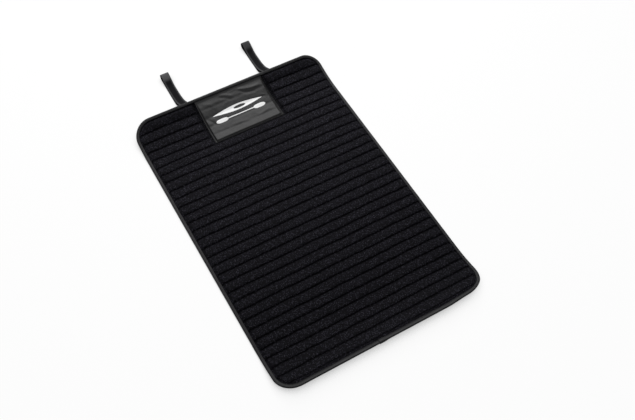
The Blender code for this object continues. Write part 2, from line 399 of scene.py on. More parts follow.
def panel_material():
    """Coated nylon: a fine plain weave under a soft film, with shade painted on it, darker and
    duller where the mesh marks it.
    """
    material, tree, shader = nodes_of("coated_nylon")
    coords = add(tree, "ShaderNodeTexCoord").outputs["Object"]
    slow = noise(tree, coords, 14.0, 4.0)
    fine = noise(tree, coords, 900.0, 2.0, 0.6)
    body = mix_colour(tree, slow, (0.017, 0.017, 0.0174), (0.025, 0.025, 0.0256))
    body = shaded(tree, body, ramp(tree, fine, [(0.3, 0.65), (0.7, 1.3)]))
    # Painted shade on the hems.
    painted_shade = point_number(tree, "painted_shade")
    body = mix_colour(tree, painted_shade, body, (0.004, 0.004, 0.0042))
    rough = math_node(tree, "MULTIPLY_ADD", slow, 0.18, 0.33)
    shine = math_node(tree, "MULTIPLY_ADD", painted_shade, -0.115, 0.13)
    set_surface(tree, shader, body, rough, shine)
    threads = math_node(tree, "ABSOLUTE", weave(tree, coords, NYLON_YARN, NYLON_YARN))
    first = bump(tree, shader, threads, 0.2, 0.0002)
    bump(tree, shader, slow, 0.25, 0.002, first)
    return material


def thread_material(name, dark, light):
    material, tree, shader = nodes_of(name)
    coords = add(tree, "ShaderNodeTexCoord").outputs["Object"]
    fine = noise(tree, coords, 1500.0, 2.0)
    set_surface(tree, shader, mix_colour(tree, fine, dark, light), 0.5, 0.2)
    bump(tree, shader, fine, 0.3, 0.0002)
    return material


def print_material():
    """White ink, a little rubbed away and broken by the weave under it."""
    material, tree, shader = nodes_of("white_ink")
    coords = add(tree, "ShaderNodeTexCoord").outputs["Object"]
    slow = noise(tree, coords, 40.0, 4.0)
    fine = noise(tree, coords, 900.0, 2.0)
    body = mix_colour(tree, slow, (0.78, 0.78, 0.78), (0.9, 0.9, 0.9))
    body = shaded(tree, body, ramp(tree, fine, [(0.2, 0.88), (0.6, 1.0)]))
    set_surface(tree, shader, body, 0.5, 0.3)
    bump(tree, shader, fine, 0.3, 0.0002)
    return material


cloth = cloth_material(
    "quilted_cloth",
    dark=(0.0032, 0.0030, 0.0051), light=(0.0053, 0.0049, 0.0079), speck=(0.052, 0.050, 0.065),
    paint_groove_shade=True,
)
back = cloth_material(
    "backing_cloth",
    dark=(0.0075, 0.0075, 0.008), light=(0.011, 0.011, 0.0115), speck=(0.03, 0.03, 0.03),
)
tape = tape_material(
    "binding_tape", dark=(0.0085, 0.0085, 0.0093), light=(0.0145, 0.0145, 0.0157),
    level=0.2, rough=0.5, rib=0.0016,
)
webbing = tape_material(
    "webbing", dark=(0.0055, 0.0055, 0.0060), light=(0.0110, 0.0110, 0.0120),
    level=0.03, rough=0.7, rib=0.0026,
)
nylon = panel_material()
thread = thread_material("black_thread", (0.004, 0.004, 0.005), (0.012, 0.012, 0.013))
tape_thread = thread_material("tape_thread", (0.016, 0.016, 0.017), (0.030, 0.030, 0.032))
pale_thread = thread_material("grey_thread", (0.05, 0.05, 0.052), (0.09, 0.09, 0.092))
ink = print_material()


# The quilting

# Rows in a channel, columns across, and how far the painted shade of a seam reaches on either side
PER_CHANNEL = 10
COLUMNS = 271
SEWN_STACK = 4.0
SHADE_BEHIND, SHADE_AHEAD = 3.0, 7.0

# The cloth simulation, whose longest move is in millimetres
LET_OUT = 0.008
BENDING = 2.0
PRESSURE = 0.3
LOOSE_HOLD = 0.1
MOST_MOVE = 0.9
SIM_FRAMES = 12


def pillow(u):
    """Share of the full height across a channel: narrow sewn grooves and a broad, full top."""
    return (1 - np.abs(2 * u - 1) ** 5) ** 0.6 * (0.94 + 0.06 * (1 - (2 * u - 1) ** 2))


def label_hold(x, s):
    """0 on the sewn border beside the label and under its hems, 1 away from them."""
    along = ease((LABEL_REACH + 3 - s) / 4)
    left = ease((np.abs(x - HEM_LEFT) - 7.0) / 5.5)
    right = ease((np.abs(x - HEM_RIGHT) - 5.0) / 5.0)
    return 1 - along * (1 - np.minimum(left, right))


def tucks(x, channel):
    """Small puckers along a seam, from -1 to 1, of uneven width."""
    return np.sin(2 * math.pi * x / 12.5 + 3.1 * np.sin(x / 47.0 + channel) + 2.2 * channel)


def quilt_height(x, s, u, channel):
    """Height of the quilted face above the underside, from its place and that in its channel."""
    d = edge_distance(x, s)
    free = ease((d - BOUND + 0.6) / 9.0)
    full = pillow(u)
    swell = 1 + wander(x + 37.0 * channel, 300, 0.05, 150.0)
    height = SEAM_TOP + (CROWN_TOP - SEAM_TOP) * full * free * swell
    pucker = 0.3 * tucks(x, channel) * np.exp(-np.minimum(u, 1 - u) / 0.12)
    height = height + pucker * full * free
    hold = label_hold(x, s)
    height = SEWN_STACK + (height - SEWN_STACK) * np.where(height > SEWN_STACK, hold, 1.0)
    height = EDGE_STACK * (1 - free) + height * free
    covered = (x > HEM_LEFT - 1) & (x < HEM_RIGHT + 1) & (s > BOUND) & (channel <= UNDER_PANEL)
    room = label_height(x, s) - LABEL_THICK - GAP
    return np.where(covered, np.minimum(height, room), height)


def channel_edges(x):
    """Stations at x of the lines between the channels, from the tape's edge to the tape's edge."""
    seams = [seam_line(i, x) for i in range(SEAMS)]
    return np.array([np.full_like(x, BOUND), *seams, np.full_like(x, LENGTH - BOUND)])


def quilt_stations(x):
    """Stations of the rows at each x, with each row's place in its channel and its channel."""
    lines = channel_edges(x)
    even = np.linspace(0, 1, PER_CHANNEL + 1)
    spread = 0.55 * (0.5 - 0.5 * np.cos(math.pi * even)) + 0.45 * even
    table = [(np.full_like(x, s), 0.0, 0) for s in (INSET, 0.5 * BOUND)]
    for i, (low, high) in enumerate(zip(lines, lines[1:])):
        table += [(low + u * (high - low), u, i) for u in spread[:-1]]
    table.append((lines[-1], 1.0, SEAMS))
    table += [(np.full_like(x, s), 1.0, SEAMS) for s in (LENGTH - 0.5 * BOUND, LENGTH - INSET)]
    return [np.array(values) for values in zip(*table)]


def mat_grid():
    """Points x and s of the quilted face, on columns that follow the rounded outline."""
    share = np.linspace(-1, 1, COLUMNS)
    share = np.sign(share) * np.abs(share) ** 0.97
    x = share * (WIDTH / 2 - INSET)
    s, u, channel = quilt_stations(x)
    left = half_width(-1, s, INSET)
    right = half_width(1, s, INSET)
    fitted = np.where(share < 0, share * left, share * right)
    return fitted, s, np.repeat(u[:, None], COLUMNS, 1), np.repeat(channel[:, None], COLUMNS, 1)


def fan_sides(kept, column, columns, first, flip):
    """Faces that close one side between every row of the face above and the kept rows below."""
    faces = []
    for k, (a, b) in enumerate(zip(kept, kept[1:])):
        low, high = first + k * columns + column, first + (k + 1) * columns + column
        middle = (a + b) // 2
        for j in range(a, b):
            corner = low if j < middle else high
            faces.append((j * columns + column, (j + 1) * columns + column, corner))
        faces.append((middle * columns + column, high, low))
    faces = np.array(faces)
    return faces[:, ::-1] if flip else faces


def gather(x, s, u, over):
    """The quilted face after its cloth, let out a little, has gathered between the sewn seams.

    A cloth simulation of every second row holds the seams, the edge and what lies under the panel,
    and lets the rest buckle. How far a point moves is capped, so the channels stay flat-topped.
    """
    under_label = (x > HEM_LEFT - 5) & (x < HEM_RIGHT + 5) & (s < LABEL_REACH + 3)
    sewn = (u == 0) | (u == 1) | (edge_distance(x, s) < BOUND + 0.5) | under_label
    coarse, fixed = over[::2], sewn[::2]
    rows, columns = fixed.shape
    trial = finish_mesh("gathering", coarse, grid_faces(rows, columns, flip=True), cloth)
    held = trial.vertex_groups.new(name="held")
    held.add([int(i) for i in np.flatnonzero(fixed)], 1.0, "REPLACE")
    held.add([int(i) for i in np.flatnonzero(~fixed)], LOOSE_HOLD, "REPLACE")
    modifier = trial.modifiers.new("cloth", "CLOTH")
    settings = modifier.settings
    settings.quality = 5
    settings.bending_stiffness = BENDING
    settings.vertex_group_mass = "held"
    settings.shrink_min = -LET_OUT
    settings.use_pressure = True
    settings.uniform_pressure_force = PRESSURE
    settings.effector_weights.gravity = 0.0
    modifier.collision_settings.use_collision = False
    modifier.point_cache.frame_start = 1
    modifier.point_cache.frame_end = SIM_FRAMES
    for step in range(1, SIM_FRAMES + 1):
        bpy.context.scene.frame_set(step)
    settled = trial.evaluated_get(bpy.context.evaluated_depsgraph_get()).to_mesh()
    found = np.empty(rows * columns * 3, np.float32)
    settled.vertices.foreach_get("co", found)
    bpy.data.objects.remove(trial)
    bpy.context.scene.frame_set(1)
    moved = np.zeros_like(over)
    moved[::2] = found.reshape(rows, columns, 3) - coarse
    moved[1::2] = (moved[:-2:2] + moved[2::2]) / 2
    for _ in range(2):
        moved[:, 1:-1] = (moved[:, :-2] + 2 * moved[:, 1:-1] + moved[:, 2:]) / 4
    moved[1:-1] = (moved[:-2] + 2 * moved[1:-1] + moved[2:]) / 4
    moved[sewn] = 0.0
    size = np.maximum(np.linalg.norm(moved, axis=2, keepdims=True), 1e-9)
    most = MOST_MOVE * MM
    return over + moved * most * np.tanh(size / most) / size


def make_quilt():
    x, s, u, channel = mat_grid()
    over = on_mat(x, s, quilt_height(x, s, u, channel))
    over = gather(x, s, u, over)
    rows, columns = x.shape
    seams = [r for r in range(2, rows - 2) if u[r, 0] in (0.0, 1.0)]
    kept = [0, 1, *seams, rows - 2, rows - 1]
    d = edge_distance(x, s)[kept]
    lining = EDGE_LIFT * (1 - ease((d - BOUND) / 9)) * (d < 20) + LINING
    under = on_mat(x[kept], s[kept], lining)
    first = rows * columns
    ahead = np.arange(columns - 1)
    start, end = ahead, (rows - 1) * columns + ahead
    below, beyond = first + ahead, first + (len(kept) - 1) * columns + ahead
    faces = [
        grid_faces(rows, columns, flip=True),
        grid_faces(len(kept), columns, first),
        np.stack([start, start + 1, below + 1, below], -1),
        np.stack([end, beyond, beyond + 1, end + 1], -1),
        fan_sides(kept, 0, columns, first, True),
        fan_sides(kept, columns - 1, columns, first, False),
    ]
    verts = np.concatenate([over.reshape(-1, 3), under.reshape(-1, 3)])
    item = finish_mesh("quilted_face", verts, faces, cloth)
    # Shade painted into the cloth's colour: in the seams' grooves, along the tape, at the curled
    # strap end, and on the sewn border beside the panel, fading towards its foot.
    reach = np.minimum(u / SHADE_AHEAD, (1 - u) / SHADE_BEHIND)
    painted_shade = 1 - ease(reach * PITCH / (1 - 0.3 * tucks(x, channel)))
    at_tape = 0.3 * (1 - ease((edge_distance(x, s) - BOUND) / 3.0))
    at_strap_end = 0.3 * (1 - ease((s - FIRST_SEAM + 12) / 18))
    beside_panel = 0.8 * (1 - label_hold(x, s)) * (1 - 0.5 * np.clip(s / LABEL_REACH, 0, 1))
    for darkness in (at_tape, at_strap_end, beside_panel):
        painted_shade = np.maximum(painted_shade, darkness)
    point_values(item, "painted_shade", np.concatenate([painted_shade.ravel(), np.zeros(under[..., 0].size)]))
    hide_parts("top_cover", "padding")
    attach(item, "root")


def back_height(x, s, u):
    """Underside of the mat: flat on the floor, a small groove at each seam, raised at the tape."""
    d = edge_distance(x, s)
    free = ease((d - BOUND + 0.6) / 11.0)
    groove = 0.55 * np.exp(-((np.minimum(u, 1 - u)) / 0.07) ** 2)
    return EDGE_LIFT * (1 - free) + groove * free


def make_back():
    x, s, u, _ = (a[:, ::3] for a in mat_grid())
    low = back_height(x, s, u)
    item = closed_sheet("back_cloth", on_mat(x, s, low), on_mat(x, s, low + CLOTH_THICK), back)
    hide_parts("backing")
    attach(item, "root")


# Threads

# A stitch's shape as a share of its length, a height in radii, and whether it is a ring there
SEED = ((-0.5, -0.9, False), (-0.28, 0.25, True), (0.28, 0.25, True), (0.5, -0.9, False))

# Pitch, length and radius in metres, and how far the thread lies clear of its cloth in millimetres
SEAM_STITCH = (0.0034, 0.0030, 0.00036)
BACK_STITCH = (0.0034, 0.0030, 0.00034)
TAPE_STITCH = (0.0036, 0.0030, 0.00032)
TAPE_BACK_STITCH = (0.0036, 0.0030, 0.00030)
LABEL_STITCH = (0.0034, 0.0029, 0.0003)
BORDER_STITCH = (0.0034, 0.0029, 0.00036)
STRAP_STITCH = (0.0032, 0.0028, 0.0003)
SEAM_CLEAR, SEWN_CLEAR = 0.05, 0.1


def sewn_line(x, s, n, stitch, side=1, sides=5):
    """A row of stitches along x and s at height n, each a seed of thread that dips in at its ends.

    The thread lies above n, or below it where side is -1.
    """
    pitch, length, radius = stitch
    points = on_mat(x, s, n)
    up = side * (on_mat(x, s, 1.0) - on_mat(x, s, 0.0))
    steps = np.linalg.norm(np.diff(points, axis=0), axis=1)
    at = np.concatenate([[0.0], np.cumsum(steps)])
    count = max(int(at[-1] / pitch), 1)
    middles = (np.arange(count) + 0.5) * at[-1] / count

    def sample(values, where):
        return np.stack([np.interp(where, at, values[:, k]) for k in range(3)], -1)

    middle = sample(points, middles)
    ahead = sample(points, middles + length / 2) - sample(points, middles - length / 2)
    ahead /= np.linalg.norm(ahead, axis=1)[:, None]
    normal = sample(up, middles)
    normal -= ahead * np.sum(normal * ahead, axis=1)[:, None]
    normal /= np.linalg.norm(normal, axis=1)[:, None]
    across = np.cross(normal, ahead)
    angle = (np.arange(sides) * 2 * math.pi / sides)[None, :, None]
    ring = (across[:, None] * np.cos(angle) + normal[:, None] * np.sin(angle)) * radius
    verts = []
    for share, height, ringed in SEED:
        centre = (middle + ahead * share * length + normal * height * radius)[:, None]
        verts.append(centre + ring if ringed else centre)
    verts = np.concatenate(verts, axis=1)
    per = verts.shape[1]
    faces = []
    for k in range(sides):
        n = (k + 1) % sides
        faces.append((0, 1 + n, 1 + k))
        faces.append((1 + k, 1 + n, 1 + sides + n))
        faces.append((1 + k, 1 + sides + n, 1 + sides + k))
        faces.append((1 + sides + k, 1 + sides + n, 1 + 2 * sides))
    faces = np.array(faces)
    all_faces = (faces[None] + per * np.arange(len(middles))[:, None, None]).reshape(-1, 3)
    return verts.reshape(-1, 3), all_faces


def join_runs(name, runs, material):
    verts, faces, start = [], [], 0
    for v, f in runs:
        verts.append(v)
        faces.append(f + start)
        start += len(v)
    item = finish_mesh(name, np.concatenate(verts), np.concatenate(faces), material)
    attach(item, "root")
    return item


def make_seam_threads():
    """Stitches in each quilting seam, on the face and on the back."""
    face, under = [], []
    for i in range(SEAMS):
        x = np.linspace(-WIDTH / 2 + BOUND, WIDTH / 2 - BOUND, 240)
        s = seam_line(i, x)
        keep = edge_distance(x, s) > BOUND + 2.5
        hidden = (x > HEM_LEFT - 8) & (x < HEM_RIGHT + 5) & (s < LABEL_REACH + 2)
        seen = keep & ~hidden
        parts = [seen & (x < 0), seen & (x >= 0)] if hidden.any() else [keep]
        for part in parts:
            xs, ss = x[part], s[part]
            top = quilt_height(xs, ss, np.zeros_like(xs), i) + SEAM_CLEAR
            face.append(sewn_line(xs, ss, top, SEAM_STITCH))
        xs, ss = x[keep], s[keep]
        low = back_height(xs, ss, np.zeros_like(xs)) - SEAM_CLEAR
        under.append(sewn_line(xs, ss, low, BACK_STITCH, -1, 4))
    join_runs("seam_threads_face", face, thread)
    join_runs("seam_threads_back", under, thread)


# Edge tape

CORNER_STEPS = 28
STRAIGHT_STEP = 3.0
TAPE_LAP, LAP_RISE = 14.0, 12.0
TAPE_PRESS = 0.25
FOLD_REACH = 3.0


def outline():
    """Closed line round the mat: x, s and the outward direction, from the tape's join."""
    half = WIDTH / 2
    points = []

    def run(a, b, direction):
        length = math.hypot(b[0] - a[0], b[1] - a[1])
        count = max(int(length / STRAIGHT_STEP), 2)
        for k in range(count):
            t = k / count
            points.append((a[0] + t * (b[0] - a[0]), a[1] + t * (b[1] - a[1]), *direction))

    def corner(side, foot, start):
        radius = CORNERS[(side, foot)]
        cx = side * (half - radius)
        cs = LENGTH - radius if foot else radius
        for k in range(CORNER_STEPS):
            angle = math.radians(start + 90 * k / CORNER_STEPS)
            ox, os = math.cos(angle), math.sin(angle)
            points.append((cx + radius * ox, cs + radius * os, ox, os))

    fl, fr = CORNERS[(-1, True)], CORNERS[(1, True)]
    sl, sr = CORNERS[(-1, False)], CORNERS[(1, False)]
    run((TAPE_JOIN, LENGTH), (-half + fl, LENGTH), (0, 1))
    corner(-1, True, 90)
    run((-half, LENGTH - fl), (-half, sl), (-1, 0))
    corner(-1, False, 180)
    run((-half + sl, 0), (half - sr, 0), (0, -1))
    corner(1, False, 270)
    run((half, sr), (half, LENGTH - fr), (1, 0))
    corner(1, True, 0)
    run((half - fr, LENGTH), (TAPE_JOIN, LENGTH), (0, 1))
    table = np.array(points + [(TAPE_JOIN, LENGTH, 0, 1)])
    steps = np.hypot(np.diff(table[:, 0]), np.diff(table[:, 1]))
    return table, np.concatenate([[0.0], np.cumsum(steps)])


def over_label(x, os):
    """How far the tape's upper leg rises over the panel's tucked edge."""
    step = LABEL_THICK + GAP
    inside = ease((x - HEM_LEFT + 6) / 6) * ease((HEM_RIGHT + 6 - x) / 6)
    return np.where(os < -0.9, step * inside, 0.0)


def tape_profile(radius):
    """Outside of the folded tape, from the edge of its upper leg round to that of its lower one.

    Each row is a distance in from the mat's edge, a height over the fold's middle, and a crown.
    """
    upper = [(k * TAPE_WIDTH, radius, 0.25 * math.sin(math.pi * k)) for k in (1.0, 0.8, 0.6, 0.4)]
    turns = np.linspace(math.pi / 2, -math.pi / 2, 9)
    bend = [(radius * 0.75 * (1 - math.cos(a)), radius * math.sin(a), 0.0) for a in turns]
    lower = [(k * TAPE_WIDTH, -radius, 0.0) for k in (0.4, 0.7, 1.0)]
    return upper + bend + lower


def make_tape():
    table, at = outline()
    total = at[-1]
    over = np.array([0.4, 4.0, 8.0, 12.0, TAPE_LAP])
    table = np.concatenate([table[:-1], [[TAPE_JOIN - t, LENGTH, 0, 1] for t in over]])
    at = np.concatenate([at[:-1], total + over])
    grow = (TAPE_THICK + GAP) * ease((at - total + LAP_RISE) / LAP_RISE)
    x, s, ox, os = table.T
    waver = wander(at, 501, 0.18, 60.0)
    raised = over_label(x, os)
    reach = TAPE_WIDTH + wander(at, 500, 0.35, 120.0) + 1.2 * np.clip(os, 0, 1)
    low = EDGE_LIFT - GAP
    high = EDGE_LIFT + SEAM_STACK + GAP
    middle = (low + high) / 2
    radius = (high - low) / 2 + TAPE_THICK
    rows = []

    def add_row(inset, n, edge, height):
        """One row of points round the mat, raised at the lap and the panel."""
        share = min(1.0, inset / FOLD_REACH)
        if n > 0:
            height = height + raised * share
        depth = edge - grow * (1 - share) + waver * 0.5 * (inset < FOLD_REACH)
        rows.append(on_mat(x - depth * ox, s - depth * os, height))

    profile = [(*row, row[0] > 0.99 * TAPE_WIDTH, 1 if row[1] >= 0 else -1)
               for row in tape_profile(radius)]
    for inset, n, crown, at_edge, sign in profile:
        dome = crown - TAPE_PRESS * at_edge if n > 0 else 0.0
        height = middle + n + sign * (grow * abs(n) / radius + dome)
        add_row(inset, n, reach if at_edge else inset, height)
    for inset, n, crown, at_edge, sign in reversed(profile):
        if inset > 2:
            thin = max(abs(n) - TAPE_THICK, 0.0)
        else:
            thin = abs(n) * (radius - TAPE_THICK) / radius
        inner = max(inset, TAPE_THICK * (1 - inset / FOLD_REACH) + inset)
        height = middle + sign * (thin + grow * abs(n) / radius)
        add_row(inset, n, reach if at_edge else inner, height)
    sections = np.stack(rows, 1)
    count, around = sections.shape[:2]
    faces = [grid_faces(count, around, wrap=True)]
    half = around // 2
    for base in (0, (count - 1) * around):
        cap = []
        for k in range(half - 1):
            quad = [base + k, base + k + 1, base + around - 2 - k, base + around - 1 - k]
            cap.append(quad if base else quad[::-1])
        faces.append(np.array(cap))
    u = np.tile(np.concatenate([np.linspace(0, 0.024, half), np.linspace(0.024, 0, half)]), count)
    v = np.repeat(at * MM, around)
    item = finish_mesh("edge_tape", sections, np.concatenate(faces), tape, uv=np.stack([u, v], -1))
    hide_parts("edge_binding")
    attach(item, "root")
    return table, at, high + TAPE_THICK


def make_tape_threads(table, at, top):
    x, s, ox, os = table.T
    raised = over_label(x, os)
    inset = TAPE_WIDTH - 1.9 + wander(at, 502, 0.25, 90.0)
    px, ps = x - inset * ox, s - inset * os
    low = EDGE_LIFT - GAP - TAPE_THICK - 0.02
    runs = [
        sewn_line(px, ps, top + raised + SEWN_CLEAR, TAPE_STITCH),
        sewn_line(px, ps, low, TAPE_BACK_STITCH, -1),
    ]
    join_runs("tape_threads", runs, tape_thread)


# Label panel

# A fold's two ends, its width, its height and its bend
FOLDS = [
    ((26, 18), (100, 32), 4.5, 1.3, -3.5), ((30, 26), (80, 45), 4.5, -0.8, -4.0),
    ((-30, 16), (10, 34), 4.5, 0.8, 2.0), ((-36, 22), (4, 43), 4.5, -0.6, 2.0),
    ((-4, 20), (36, 14), 3.0, 0.4, 0.0), ((-88, 24), (-58, 38), 5.0, 0.4, 2.0),
    ((86, 62), (108, 72), 3.5, 0.6, 0.0), ((-96, 70), (-76, 100), 4.0, -0.6, 2.0),
    ((-40, 120), (34, 134), 6.0, 0.6, 4.0), ((40, 128), (100, 116), 5.0, 0.5, 3.0),
]
HEM_RISE = 0.8
PRINT_LIFT = 0.16


def fold(x, s, a, b, width, height, bend):
    """A soft fold from a to b that dies away at both ends. A negative height makes it a valley."""
    ax, as_ = a
    bx, bs = b
    dx, ds = bx - ax, bs - as_
    size = math.hypot(dx, ds)
    t = ((x - ax) * dx + (s - as_) * ds) / size ** 2
    off = ((x - ax) * ds - (s - as_) * dx) / size - bend * np.sin(math.pi * np.clip(t, 0, 1))
    along = ease(t / 0.3 + 0.2) * ease((1 - t) / 0.3 + 0.2) * (t > -0.1) * (t < 1.1)
    return height * np.exp(-(off / width) ** 2) * along


def hem_edges(s):
    """The panel's side edges. Its folded hems grow a little wider towards its foot."""
    narrow = np.clip(1 - s / LABEL_REACH, 0, 1)
    return HEM_LEFT + 2.0 * narrow, HEM_RIGHT - 1.6 * narrow


def label_height(x, s):
    """Height of the panel's upper face over the mat's underside."""
    sewn = EDGE_STACK + GAP + LABEL_THICK
    held_top = ease((s - BOUND) / 12.0)
    rise = ease((s - BOUND) / 32.0)
    inside = np.minimum(x - TROUGH_LEFT, TROUGH_RIGHT - x)
    held_side = ease(inside / 5.0)
    held_foot = ease((LABEL_REACH - s) / 7.0)
    sag = 0.0
    for i in range(UNDER_PANEL):
        sag = sag + np.exp(-((s - seam_line(i, x)) / 5.5) ** 2)
    slow = wander(x * 0.8 + s * 1.3, 610, 0.22, 90.0) + wander(x - s * 0.6, 611, 0.16, 55.0)
    body = CROWN_TOP + 0.75 - 0.8 * sag + slow
    folds = sum(fold(x, s, *values) for values in FOLDS)
    low = SEWN_STACK + LABEL_THICK
    slope = sewn - (sewn - low) * ease((s - BOUND) / 8)
    edge = np.where(s < 40, np.maximum(low, slope), low + 0.0 * x)
    left, right = hem_edges(s)
    left_share = (TROUGH_LEFT - x) / (TROUGH_LEFT - left)
    right_share = (x - TROUGH_RIGHT) / (right - TROUGH_RIGHT)
    across = np.where(x < 0, left_share, right_share)
    arch = np.sin(math.pi * np.clip(0.12 + 0.76 * across, 0, 1)) ** 0.4
    hem = HEM_RISE * arch * ease(-inside / 1.2) * ease((s - BOUND) / 6)
    return edge + hem + ((body - edge) * rise + 1.2 * folds * held_top) * held_side * held_foot


def label_grid():
    """Points x and s of the panel, closer together at its hems and its foot."""
    upper = np.linspace(LABEL_TUCK, LABEL_REACH - 6, 104)
    s = np.concatenate([upper, np.linspace(LABEL_REACH - 5, LABEL_REACH, 6)])
    left, right = hem_edges(s)
    even = np.linspace(0, 1, 140)
    share = 0.4 * (0.5 - 0.5 * np.cos(math.pi * even)) + 0.6 * even
    hem = np.linspace(0, 1, 8)[:-1]
    panel = TROUGH_LEFT + (TROUGH_RIGHT - TROUGH_LEFT) * share
    x = np.array([
        np.concatenate([a + (TROUGH_LEFT - a) * hem, panel, b + (TROUGH_RIGHT - b) * hem[::-1]])
        for a, b in zip(left, right)
    ])
    return x, np.repeat(s[:, None], x.shape[1], 1)


def make_label():
    x, s = label_grid()
    top = label_height(x, s)
    item = closed_sheet("label_cloth", on_mat(x, s, top - LABEL_THICK), on_mat(x, s, top), nylon)
    # Shade painted on the hems beside the stitch troughs, stronger on the right and lighter towards
    # the foot.
    left = 0.55 * ease((TROUGH_LEFT + 1.5 - x) / 3) * (1 - 0.4 * s / LABEL_REACH)
    right = 0.9 * ease((x - TROUGH_RIGHT + 3.5) / 4) * (1 - 0.4 * s / LABEL_REACH)
    painted_shade = np.maximum(left, right).ravel()
    point_values(item, "painted_shade", np.concatenate([painted_shade, painted_shade]))
    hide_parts("label_panel")
    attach(item, "root")

    along = np.linspace(10.0, LABEL_REACH - 2.5, 120)
    across = np.linspace(TROUGH_LEFT + 2.0, TROUGH_RIGHT - 2.0, 160)
    lines = [
        (np.full_like(along, TROUGH_LEFT), along),
        (np.full_like(along, TROUGH_RIGHT), along),
        (across, np.full_like(across, LABEL_REACH - 2.4)),
    ]
    runs = [sewn_line(a, b, label_height(a, b) + SEWN_CLEAR, LABEL_STITCH) for a, b in lines]
    join_runs("label_threads", runs, pale_thread)

    along = np.linspace(11.0, LABEL_REACH - 1, len(along))
    lines = [(np.full_like(along, edge), along) for edge in (HEM_LEFT - 6.0, HEM_RIGHT + 3.0)]
    borders = [sewn_line(a, b, quilt_at(a, b) + SEWN_CLEAR, BORDER_STITCH) for a, b in lines]
    join_runs("label_border_threads", borders, thread)


def quilt_at(x, s):
    """Height of the quilted face at any point, found from the channel that it lies in."""
    edges = channel_edges(x)
    channel = np.clip((edges <= s).sum(0) - 1, 0, SEAMS)
    low = np.take_along_axis(edges, channel[None], 0)[0]
    high = np.take_along_axis(edges, channel[None] + 1, 0)[0]
    return quilt_height(x, s, np.clip((s - low) / (high - low), 0, 1), channel)


def make_print():
    """A plain sign in white ink on the panel: a kayak seen from above, and a paddle beside it."""
    cx, boat, paddle = 6.0, 70.0, 93.0
    verts, faces = [], []
    around = np.linspace(0, 2 * math.pi, 96, endpoint=False)

    def printed(x, s):
        return on_mat(x, s, label_height(x, s) + PRINT_LIFT)

    def ring(outer, inner, steps):
        start = sum(len(v) for v in verts)
        count = len(outer)
        for k in range(steps + 1):
            point = outer + (inner - outer) * k / steps
            verts.append(printed(point[:, 0], point[:, 1]))
        faces.append(grid_faces(steps + 1, count, start, flip=True, wrap=True))

    def oval(middle, s, long, wide, power=2.0):
        along = np.cos(around)
        bow = (1 - np.abs(along) ** power) ** (1.0 if power < 2 else 0.5)
        return np.stack([middle + long * along, s + wide * np.sign(np.sin(around)) * bow], -1)

    ring(oval(cx, boat, 80.0, 9.6, 1.8), oval(cx + 6.0, boat, 19.0, 4.6), 12)
    for side in (-1, 1):
        blade = cx + side * 60.0
        ring(oval(blade, paddle, 19.0, 6.4, 3.0), oval(blade, paddle, 12.0, 0.0), 5)
    shaft = np.linspace(cx - 43.0, cx + 43.0, 48)
    start = sum(len(v) for v in verts)
    for s in (paddle - 1.5, paddle + 1.5):
        verts.append(printed(shaft, np.full_like(shaft, s)))
    faces.append(grid_faces(2, len(shaft), start, flip=True))
    item = finish_mesh("printed_sign", np.concatenate(verts), np.concatenate(faces), ink)
    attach(item, "root")


# Webbing loops

WEB_WIDTH, WEB_THICK = 25.0, 1.4
WEB_EDGE = 0.5
STRAP_REACH = 148.4
TAB = (45.0, 28.5, 12.0)
CURVE_STEPS = 6


def smooth_through(knots):
    """A smooth line through all the knots, which doesn't swing out between uneven ones."""
    found = []
    last = len(knots) - 1
    for i in range(last):
        before = knots[max(i - 1, 0)]
        after = knots[min(i + 2, last)]
        a, b = knots[i], knots[i + 1]
        span = np.linalg.norm(b - a)
        leave = (b - before) * span / max(span + np.linalg.norm(a - before), 1e-6)
        arrive = (after - a) * span / max(span + np.linalg.norm(after - b), 1e-6)
        for j in range(CURVE_STEPS):
            t = j / CURVE_STEPS
            found.append(
                a * (2 * t ** 3 - 3 * t ** 2 + 1) + leave * (t ** 3 - 2 * t ** 2 + t)
                + b * (3 * t ** 2 - 2 * t ** 3) + arrive * (t ** 3 - t ** 2)
            )
    found.append(knots[-1])
    return np.array(found)


def under_mat(s, depth):
    """A point under the mat: its distance past the strap end, and its height."""
    point = on_mat(0.0, s, -depth) / MM
    return np.array([point[1] - LENGTH / 2, point[2]])


def strap_line():
    """The loop's centre line, in distance past the strap end and height.

    It runs down from under the mat to the upright fold, and back under itself.
    """
    half = WEB_THICK / 2
    upper = GAP + half
    lower = 2 * GAP + 3 * half
    floor = 0.5 + half
    stacked = floor + WEB_THICK + GAP
    rise = STRAP_RISE - GAP - WEB_THICK
    tip = (20.0 - WEB_THICK) / 2
    centre = np.array([STRAP_REACH - half - tip, floor + tip - 0.2])
    out = [
        (-4.0, rise - 1.9), (1.5, rise - 2.2), (7.0, rise - 4.4), (20.0, 0.54 * rise),
        (31.0, 0.33 * rise), (43.0, stacked + 0.1 * rise), (56.0, stacked + 0.2), (74.0, stacked),
        (92.0, stacked + 0.3), (106.0, centre[1] - 0.52 * tip), (119.0, centre[1] + 0.15 * tip),
        (130.0, centre[1] + 0.72 * tip),
    ]
    home = [
        (120.0, floor), (90.0, floor), (60.0, floor), (38.0, floor + 0.1), (27.0, 0.12 * rise),
        (17.0, 0.40 * rise), (9.0, 0.68 * rise), (2.0, 0.84 * rise),
        (-4.5, under_mat(6.0, lower)[1] - 1.2),
    ]
    turns = [math.radians(angle) for angle in (90, 45, 0, -45, -90)]
    knots = [under_mat(s, upper) for s in TAB]
    knots += [np.array(k) for k in out]
    knots += [centre + tip * np.array([math.cos(a), math.sin(a)]) for a in turns]
    knots += [np.array(k) for k in home]
    knots += [under_mat(s, lower) for s in reversed(TAB)]
    return smooth_through(knots)


